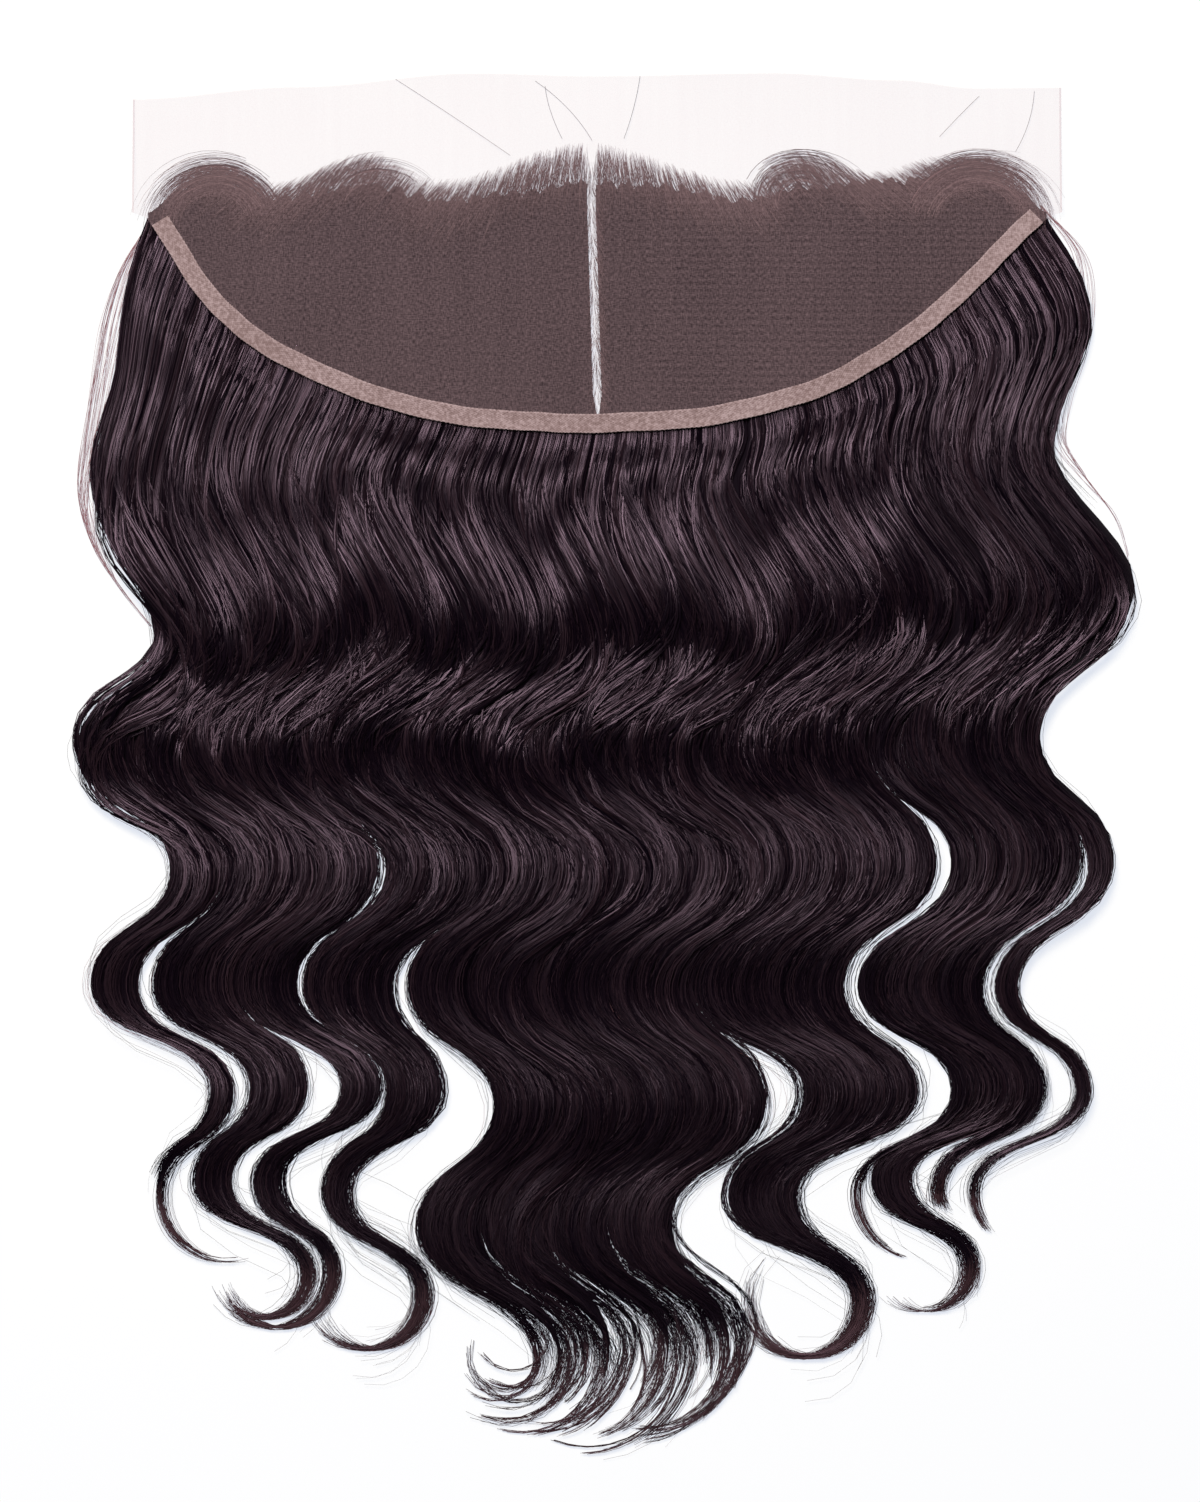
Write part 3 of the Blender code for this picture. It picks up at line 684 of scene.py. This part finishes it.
def lock_strands(number, count, points, clump_width, tips, **look):
    """Strands of a lock, in wisps and clumps that ride over one another and close to a point at their tips.

    Tips are the first and the last station where clumps may end. Wild scales how far they stray from the
    flow, less in a narrow lock, tight how wide a clump is for its pitch, and slant how far clumps lean over
    to the right below the tape. Lift is their height over the flow, loose how far single strands leave the
    lock, thick the range of strand widths, and point the share of its width that a strand keeps at its tip.
    In_wisp is how many strands share a wisp, and own scales how much each strand differs from its wisp.
    """
    chosen = {**STRAND_LOOK, **look}
    wild, lift, slant, tight, loose, point, in_wisp, own, thick = chosen.values()
    end, places = last_station(LOCKS[number]), LOCKS[number]["places"]
    width, hook_width = places[0][1], places[-1][1]
    wild = wild * min(1.0, 0.3 + width / 24.0)
    clumps, wisps, one = max(3, round(width / clump_width)), max(4, count // in_wisp), (count, 1)
    clump_of_wisp = chance.integers(0, clumps, wisps)
    wisp = chance.integers(0, wisps, count)
    clump = clump_of_wisp[wisp]

    def varied(by_clump, by_wisp, by_strand, mean=0.0):
        """One value a strand: mean plus a chance part of its clump, its wisp and its own."""
        of_clump = chance.normal(0.0, by_clump, (clumps, 1))[clump]
        of_wisp = chance.normal(0.0, by_wisp, (wisps, 1))[wisp]
        return mean + (of_clump + of_wisp) + own * chance.normal(0.0, by_strand, one)

    closing, starts, apart = (0.95, 0.8, 0.16 * wild) if hook_width < FAN_WIDTH else (0.3, 0.2, wild)
    centre = ((np.arange(clumps) + chance.uniform(0.2, 0.8, clumps)) / clumps * 2.0 - 1.0)[clump][:, None]
    lean = np.clip(varied(0.0, 0.6, 0.10), -1.5, 1.5)
    change = {
        "lag": varied(2.2, 0.7, 0.3) * apart + varied(0.0, 0.0, 5.0) * loose,
        "early": varied(6.0, 2.0, 0.5) * wild,
        "swing": varied(0.10, 0.05, 0.02) * wild + varied(0.0, 0.0, 0.12) * loose,
        "curl": np.clip(1.0 + varied(0.09, 0.03, 0.015) * apart, 0.55, 1.45),
        "turn": np.clip(varied(0.10, 0.06, 0.03, 1.0), 0.55, 1.4),
    }
    tip = chance.uniform(*tips, (clumps, 1))[clump] - np.abs(varied(0.0, 0.20, 0.10))
    stations = route(end)
    along = np.linspace(0.0, 1.0, points)[None, :]
    knots = np.arange(len(stations))
    station = np.interp(np.interp(tip, stations, knots) * along, knots, stations)

    free = smooth_step((station - 1.0) / 1.2)
    gather = (1.5 - 0.5 * free) * (1.0 - 0.90 * smooth_step((station - tip + 1.7) / 1.6))
    phase, pace = varied(0.0, 2.0, 0.3), 1.6 + varied(0.0, 0.5, 0.05)
    wander = np.sin(station * pace + phase)
    drift = varied(0.0, 0.04, 0.02) * (station - 1.0)
    offset = centre + lean * tight * 1.25 / clumps * gather + (wander * 0.05 + drift) * wild * free
    offset = 1.3 * np.tanh(offset * 0.88) * (1.0 - closing * smooth_step((station - end + starts) / 1.2))
    stray = varied(0.0, 0.0, 0.30) + varied(0.0, 0.0, 0.15) * np.sin(station * 2.1 + varied(0.0, 0.0, 3.0))
    offset = offset + stray * loose * smooth_step((station - 2.6) / 2.5)
    x, level = lock_flow(number, offset, station, **change)
    x = x + varied(slant * 1.4, slant * 0.5, 0.1, slant) * np.clip(station - 1.0, 0.0, None) ** 1.5

    mound = 1.0 - (lean / 1.5) ** 2
    depth = 1.0 - np.abs(varied(0.0, 0.14, 0.04))
    height = hair_height(number, offset, station, x, level, varied(3.0, 2.5, 0.8)) * depth
    height = height + (lift + 0.9 * mound + varied(0.4, 0.25, 0.08)) * free * (1.0 - 0.6 * along)
    under_net = np.minimum(height, net_underside(level) - 0.15)
    height = np.where(station < 1.12, under_net, np.maximum(height, 0.25))

    taper = np.interp(along, (0.0, 0.6, 1.0), (1.0, 0.9, point))
    twist = 0.15 * np.sin(station * (2.5 + varied(0.0, 1.0, 0.1)) + varied(0.0, 2.0, 0.3))
    roll = varied(0.08, 0.13, 0.17) + twist + 0.26 * lean
    thin = smooth_step((station - end + 0.7) / 0.9)
    outside = loose * smooth_step((np.abs(offset) - 0.95) / 0.35) * (station > 2.6)
    brown = 0.42 - 0.20 * chance.uniform(0.0, 1.0, one)
    tone = np.clip(varied(0.10, 0.15, 0.20, 0.40), 0.0, 1.0) * (1.0 - thin) - brown * thin
    tone = tone * (1.0 - outside) + LOOSE_TONE * outside
    return place(x, level, height), chance.uniform(*thick, one) * taper, roll, tone


BED_LINE = (
    # x, level where the hair is dense
    (-165.1, 22.8),
    (-155.0, 15.0),
    (-138.0, 11.5),
    (-119.0, 17.3),
    (-83.5, 12.3),
    (-57.2, 18.8),
    (-30.0, 15.5),
    (-4.8, 11.5),
    (18.7, 12.5),
    (58.0, 18.9),
    (76.0, 12.8),
    (99.0, 12.2),
    (128.0, 9.5),
    (148.0, 11.5),
    (158.0, 16.5),
    (165.1, 22.6),
)


def root_inset(x):
    """How far behind the first hairs the dense bed of hair starts, unevenly between the ears."""
    uneven = (1.0 * np.sin(x * 1.96) + 1.2 * np.sin(x * 0.9 + 1.0)) * smooth_step((128.0 - np.abs(x)) / 20.0)
    return half_cosine(x, BED_LINE) - half_cosine(x, HAIRLINE) + uneven


PARTING_X = -1.9


def parting_line(level):
    """Where the parting runs on the plan, slightly aslant."""
    return PARTING_X + 2.6 * np.clip((level - 20.0) / 84.0, 0.0, 1.0)


def drawn_in(number, side, stations):
    """How far the dense hair stays inside an edge of a lock: a little once parted, and all at its tip.

    It draws in earlier where the lock ends in a fan, so that the fan's wisps stand apart.
    """
    end, other = last_station(LOCKS[number]), number + side
    parted = smooth_step((stations - 3.0) / 2.0)
    if 0 <= other < len(LOCKS):
        level = lock_flow(number, np.array([[side]]), stations[None, :])[1][0]
        parted = smooth_step((level - LOCKS[min(number, other)]["split"]) / 30.0)
    opening = 0.95 if LOCKS[number]["places"][-1][1] > FAN_WIDTH else 0.8
    return 0.03 * parted + 0.94 * smooth_step(stations - end + opening)


def lock_body(number):
    """Points and stations of the dense hair inside a lock, from the hairline to the start of its hook."""
    end = last_station(LOCKS[number])
    free = route(end)
    stations = np.concatenate((np.linspace(0.0, 0.93, 12), free[free < end + 0.22]))
    offsets = np.linspace(-1.0, 1.0, 17)[:, None]
    narrow = [1.0 - drawn_in(number, side, stations) for side in (-1, 1)]
    inner = offsets * np.where(offsets < 0.0, *narrow)
    x, level = lock_flow(number, inner, np.broadcast_to(stations, inner.shape))
    level = level + root_inset(x) * np.clip(1.0 - stations, 0.0, 1.0)
    if number in (5, 6):
        near = np.clip(1.0 - np.abs(x) / 14.0, 0.0, 1.0)
        opened = 1.6 * (1.0 - smooth_step((stations - 0.86) / 0.10)) * np.sign(number - 5.5)
        x = x + near * (parting_line(level) * np.clip(1.2 - stations, 0.0, 0.2) * 5.0 + opened)
    height = hair_height(number, inner, stations[None, :], x, level) * 0.70
    height = np.where(stations < 1.1, np.minimum(height, net_underside(level) - 1.0), height)
    return place(x, level, np.maximum(height, 0.15)), stations


# Each section of hair: a dark body inside its locks, long strands that run to the hooks, ended strands that
# stop on the way, and upper strands over them with the loose hairs. All are knotted to the net.

for section in ("side_left", "back_left", "back_right", "side_right"):
    numbers = [number for number, lock in enumerate(LOCKS) if lock["section"] == section]
    bodies = []
    for number in numbers:
        points, stations = lock_body(number)
        shape = rows, columns = points.shape[:2]
        fibre_row = np.linspace(0.0, LOCKS[number]["places"][0][1] / 5.0, rows)[:, None]
        uv = np.stack((np.broadcast_to(fibre_row, shape), np.broadcast_to(stations * 0.5, shape)), axis=-1)
        tone = np.full(rows * columns, -1.0)
        bodies.append((points.reshape(-1, 3), grid_faces(rows, columns), uv.reshape(-1, 2), tone))
    body = joined_piece("under_" + section, bodies)
    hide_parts("hair_" + section)

    long_strands, ended, upper = [], [], []
    for number in numbers:
        end, places = last_station(LOCKS[number]), LOCKS[number]["places"]
        width, hook_width = places[0][1], places[-1][1]
        fans = hook_width > FAN_WIDTH
        hooks = (end + 0.45, end + 1.05)
        reach = (end - 0.7, end + 0.45) if fans else (end - 0.4, end + 1.15)
        long_strands.append(lock_strands(number, int(width * 10), 54, 5.0, reach, point=0.4))
        ended.append(lock_strands(number, int(width * 6), 44, 4.0, (end - 2.6, end + 0.3), lift=0.2))
        tips = {"tight": 0.5, "point": 0.6, "in_wisp": 8, "own": 0.3, "thick": (0.15, 0.32)}
        ended.append(lock_strands(number, int(8 + hook_width * (9 if fans else 5)), 54, 3.0, hooks, **tips))
        over = {"wild": 1.2, "lift": 1.3, "slant": 2.0, "tight": 0.75}
        upper.append(lock_strands(number, int(width * 5), 26, 8.0, (1.5, 2.2), **over))
        upper.append(lock_strands(number, int(width * 3), 26, 5.0, (1.4, 2.5), lift=0.7, slant=0.8))
        loose = {"wild": 0.7, "loose": 1.0, "point": 0.6, "thick": (0.08, 0.16)}
        upper.append(lock_strands(number, int(12 + width * 1.7), 44, 3.0, (end - 2.0, end + 0.8), **loose))
    strand_piece("long_strands_" + section, long_strands)
    strand_piece("ended_strands_" + section, ended)
    strand_piece("upper_strands_" + section, upper)


# The root ends. Short strands in tufts along the hairline and beside the parting, baby hairs that arch over
# its humps, and six single long hairs over the spare net. All but the single hairs lie under the net.

LEANS = (
    # x, angle of the root ends from straight back, in degrees
    (-165.0, -60.0),
    (-110.0, -42.0),
    (-54.0, -33.0),
    (-30.0, -18.0),
    (0.0, 0.0),
    (18.0, 13.0),
    (54.0, 32.0),
    (100.0, 48.0),
    (165.0, 60.0),
)
root_x, root_lean = np.array(LEANS).T


def root_tones(count, darkest=-0.86):
    """Tones of root ends, from dark brown, which most have, to pale."""
    return darkest + (-0.58 - darkest) * chance.uniform(0.0, 1.0, (count, 1)) ** 2.2


def root_strands(x, level, length, spread, count, ragged=3.0, thick=(0.12, 0.26), aside=0.0, darkest=-0.86):
    """Short strands that start in tufts at the given places and are combed back from the hairline.

    Aside turns them further to the right, in degrees. Each fades down its length to the dark of the bed.
    """
    tuft = chance.integers(0, len(x), count)
    one, along = (count, 1), np.linspace(0.0, 1.0, 6)[None, :]
    lean = chance.normal(0.0, 0.5, one)
    start_x = x[tuft][:, None] + lean * spread
    start = level[tuft][:, None] + np.abs(chance.normal(0.0, ragged, one)) - 0.3 * ragged
    angle = np.radians(np.interp(start_x, root_x, root_lean) + aside + chance.normal(0.0, 6.0, one))
    reach = chance.uniform(*length, one) * along
    line_x = start_x + np.sin(angle) * reach + lean * spread * 0.5 * along
    line_level = start + np.cos(angle) * reach
    height = np.maximum(net_underside(line_level) - chance.uniform(0.25, 0.8, one), 0.2)
    width = chance.uniform(*thick, one) * np.interp(along, (0.0, 0.35, 1.0), (0.3, 1.0, 0.8))
    roll = chance.normal(0.0, 0.3, one) + along * 0.0
    front = root_tones(count, darkest)
    return place(line_x, line_level, height), width, roll, front - (0.95 + front) * along**1.5


tuft_x = np.arange(-124.0, 124.0, 2.9)
tuft_x = tuft_x + chance.normal(0.0, 0.5, len(tuft_x))
tuft_x = tuft_x[np.abs(tuft_x - PARTING_X) > 2.2]
tuft_level = half_cosine(tuft_x, HAIRLINE) + 3.0
fringe = root_strands(tuft_x, tuft_level, (11.0, 18.0), 1.1, 1500, 4.0, (0.10, 0.22), darkest=-0.70)
between_x = chance.uniform(-140.0, 140.0, 3600)
between_x = between_x[np.abs(between_x - PARTING_X) > 1.8]
between_level = half_cosine(between_x, HAIRLINE) + 1.5
between = root_strands(
    between_x, between_level, (7.0, 15.0), 0.5, 4800, 6.0, (0.07, 0.17), darkest=-0.66
)
parting_level = np.linspace(4.0, 100.0, 90)
parting_x = parting_line(parting_level)
at_parting = {"length": (3.0, 7.0), "ragged": 1.0, "thick": (0.07, 0.15)}
right_roots = root_strands(
    parting_x + 0.9, parting_level, spread=1.7, count=620, aside=20.0, darkest=-0.66, **at_parting
)
left_roots = root_strands(
    parting_x - 0.9, parting_level, spread=1.0, count=220, aside=-8.0, darkest=-0.70, **at_parting
)

HUMPS = (
    # middle x and level, stretch across, smallest and largest radius, first and last angle, how many
    (-140.0, 28.0, 1.05, 12.0, 24.5, 15.0, 190.0, 460),
    (-140.0, 28.0, 1.05, 20.0, 28.0, 35.0, 185.0, 26),
    (-80.0, 21.0, 1.25, 6.0, 21.5, 165.0, 20.0, 80),
    (75.0, 17.5, 1.2, 2.0, 18.5, 210.0, 0.0, 130),
    (75.0, 18.5, 1.25, 16.0, 18.5, 130.0, 5.0, 26),
    (140.0, 27.0, 1.1, 13.0, 26.0, 170.0, -8.0, 480),
    (140.0, 27.0, 1.1, 22.0, 29.0, 145.0, -5.0, 26),
)


def baby_hairs(middle_x, middle_level, stretch, low, high, first, last, count):
    """Fine hairs that arch over a hump of the hairline, on arcs about its middle."""
    one, along = (count, 1), np.linspace(0.0, 1.0, 11)[None, :]
    radius = low + (high - low) * chance.beta(1.8, 2.2, one)
    radius = radius * (1.0 + chance.normal(0.0, 0.09, one) * along**2)
    start = first + (last - first) * np.abs(chance.normal(0.0, 0.25, one))
    angle = np.radians(start + (last - start) * along * chance.uniform(0.4, 1.0, one))
    x = middle_x + chance.normal(0.0, 0.8, one) + radius * stretch * np.cos(angle)
    level = middle_level + chance.normal(0.0, 0.8, one) - radius * np.sin(angle)
    height = np.maximum(net_underside(level) - chance.uniform(0.2, 0.5, one), 0.15)
    width = chance.uniform(0.09, 0.22, one) * np.interp(along, (0.0, 0.5, 1.0), (1.0, 0.8, 0.3))
    return place(x, level, height), width, along * 0.0 + 0.1, root_tones(count)


# start, bend and end of single long hairs over the spare net
SINGLES = np.array(
    (
        ((-74.1, -26.4), (-53.9, -13.6), (-31.9, 1.8)),
        ((-22.7, -25.7), (-9.2, -16.5), (-1.8, -3.7)),
        ((-19.1, -23.9), (-18.2, -15.0), (-12.8, -4.4)),
        ((15.8, -27.5), (14.3, -16.5), (9.9, -4.4)),
        ((140.5, -20.2), (133.9, -13.9), (125.8, -5.1)),
        ((160.7, -22.0), (160.0, -10.3), (153.7, 0.4)),
    )
)
t = np.linspace(0.0, 1.0, 18)[None, :, None]
single = SINGLES[:, :1] * (1.0 - t) ** 2 + 2.0 * SINGLES[:, 1:2] * t * (1.0 - t) + SINGLES[:, 2:] * t**2
single_points = place(single[..., 0], single[..., 1], net_underside(single[..., 1]) + 1.2)
single_width = np.full(single_points.shape[:2], 0.13)
singles = (single_points, single_width, single_width * 0.0, root_tones(len(SINGLES)))


# The wisps. Fine strands that leave the hair at each ear and hang outside the locks, knotted with the rest.

EDGE_WISPS = (
    # how many, how far they spread inwards, and the outer path of the wisps at an ear
    (
        36,
        10.0,
        (
            (-163.0, 24.0),
            (-174.3, 41.1),
            (-180.9, 58.7),
            (-184.9, 77.0),
            (-188.2, 99.1),
            (-190.4, 124.7),
            (-185.0, 144.9),
            (-174.0, 162.2),
            (-161.0, 178.0),
        ),
    ),
    (
        16,
        -9.0,
        (
            (163.0, 20.0),
            (179.0, 36.7),
            (182.7, 55.0),
            (180.9, 73.4),
            (174.3, 91.7),
            (172.1, 106.4),
            (179.1, 119.2),
            (191.2, 135.8),
            (197.0, 155.9),
        ),
    ),
)


def edge_wisps(count, spread, path):
    """Fine strands of uneven length that leave an ear, between the given outer path and the locks."""
    one, along = (count, 1), np.linspace(0.0, 1.0, 60)[None, :]
    plan = spline(path, along * chance.uniform(0.62, 1.0, one))
    bow = np.sin(math.pi * np.clip(along * 1.15, 0.0, 1.0)) ** 0.7
    inward = chance.uniform(0.0, 1.0, one) ** 1.3 * spread * bow
    wobble = 0.5 * np.sin(along * chance.uniform(8.0, 16.0, one) + chance.uniform(0.0, 6.3, one))
    height = 1.0 + 2.0 * np.sin(math.pi * along) * chance.uniform(0.3, 1.0, one)
    width = chance.uniform(0.07, 0.16, one) + along * 0.0
    flat = width * 0.0
    return place(plan[..., 0] + inward + wobble, plan[..., 1], height), width, flat, flat + LOOSE_TONE


strand_piece("edge_wisps", [edge_wisps(*row) for row in EDGE_WISPS])
roots = [fringe, between, right_roots, left_roots]
strand_piece("root_strands", [*roots, *(baby_hairs(*row) for row in HUMPS), singles])


# The table, the light and the camera. A white table that takes a soft shadow, one soft light from beyond the
# front edge of the net, a dim even sky, and a long lens straight above.

white = Finish("table", Base_Color=(0.27, 0.23, 0.15, 1.0), Roughness=0.9, Specular_IOR_Level=0.0)
white.shader.inputs["Emission Color"].default_value = (0.725, 0.765, 0.850, 1.0)
white.shader.inputs["Emission Strength"].default_value = 1.0
table_mesh = bpy.data.meshes.new("table")
corners = [(x * 3.0, y * 3.0, -0.0002) for x, y in ((-1, -1), (1, -1), (1, 1), (-1, 1))]
table_mesh.from_pydata(corners, [], [(0, 1, 2, 3)])
table_mesh.materials.append(white.material)
table = bpy.data.objects.new("table", table_mesh)
bpy.context.scene.collection.objects.link(table)


def soft_light(name, place_at, size, watts):
    """A square area light that faces the origin."""
    lamp = bpy.data.lights.new(name, "AREA")
    lamp.shape, lamp.size, lamp.energy = "SQUARE", size, watts
    holder = bpy.data.objects.new(name, lamp)
    holder.location = place_at
    holder.rotation_euler = Vector(place_at).to_track_quat("Z", "Y").to_euler()
    bpy.context.scene.collection.objects.link(holder)


soft_light("front_light", (-0.25, 0.68, 2.0), 0.6, 52.0)

world = bpy.data.worlds.new("studio")
world.use_nodes = True
world.node_tree.nodes["Background"].inputs["Color"].default_value = (0.82, 0.76, 1.0, 1.0)
world.node_tree.nodes["Background"].inputs["Strength"].default_value = 0.055
bpy.context.scene.world = world
bpy.context.scene.view_settings.view_transform = "Standard"

PHOTO_HEIGHT, MM_PER_PIXEL = 1502, 0.3669
CAMERA_DISTANCE = 3000.0
VIEW_HEIGHT = PHOTO_HEIGHT * MM_PER_PIXEL
camera_data = bpy.data.cameras.new("camera")
camera_data.sensor_width, camera_data.sensor_height = 36.0, 36.0
camera_data.lens = 36.0 * CAMERA_DISTANCE / VIEW_HEIGHT
camera = bpy.data.objects.new("camera", camera_data)
camera.location = ((1.1 + PLAN_X) / 1000.0, (PLAN_Y - 220.5) / 1000.0, 3.006)
bpy.context.scene.collection.objects.link(camera)
bpy.context.scene.camera = camera
